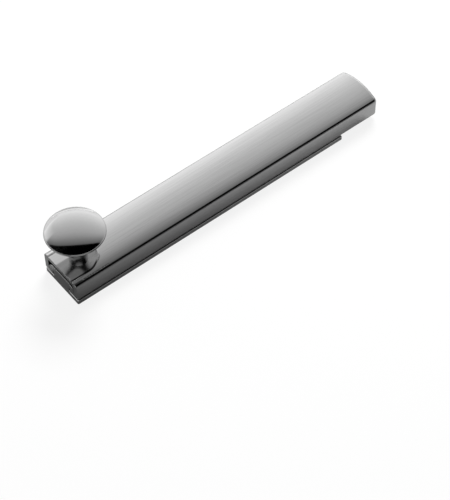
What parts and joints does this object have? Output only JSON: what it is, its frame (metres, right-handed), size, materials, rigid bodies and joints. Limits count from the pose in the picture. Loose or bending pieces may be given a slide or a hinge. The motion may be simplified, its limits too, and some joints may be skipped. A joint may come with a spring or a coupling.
{
  "type": "surface bolt",
  "caption": "Surface-mounted slide bolt: a domed polished bar with a mushroom knob slides along a T-shaped rail that screws to the face of a door.",
  "frame": {"origin": "centre of the rail's back face, the one that lies on the door", "axes": "+X along the bar, the way it is thrown; +Z out of the door; +Y across the bar"},
  "size_m": [0.1555, 0.0238, 0.0314],
  "materials": {
    "plated_rail": "polished",
    "plated_bar": "polished",
    "plated_knob": "polished",
    "spring_bronze": "rolled",
    "screw_steel": "turned"
  },
  "bodies": {
    "base": {"base_rail": "plated_rail", "friction_spring": "spring_bronze"},
    "bar": {"slide_bar": "plated_bar", "knob": "plated_knob", "knob_screw": "screw_steel"}
  },
  "joints": [
    {"name": "bolt_throw", "type": "slide", "parent": "base", "child": "bar", "axis": [1, 0, 0], "range_m": [0, 0.01905]}
  ]
}
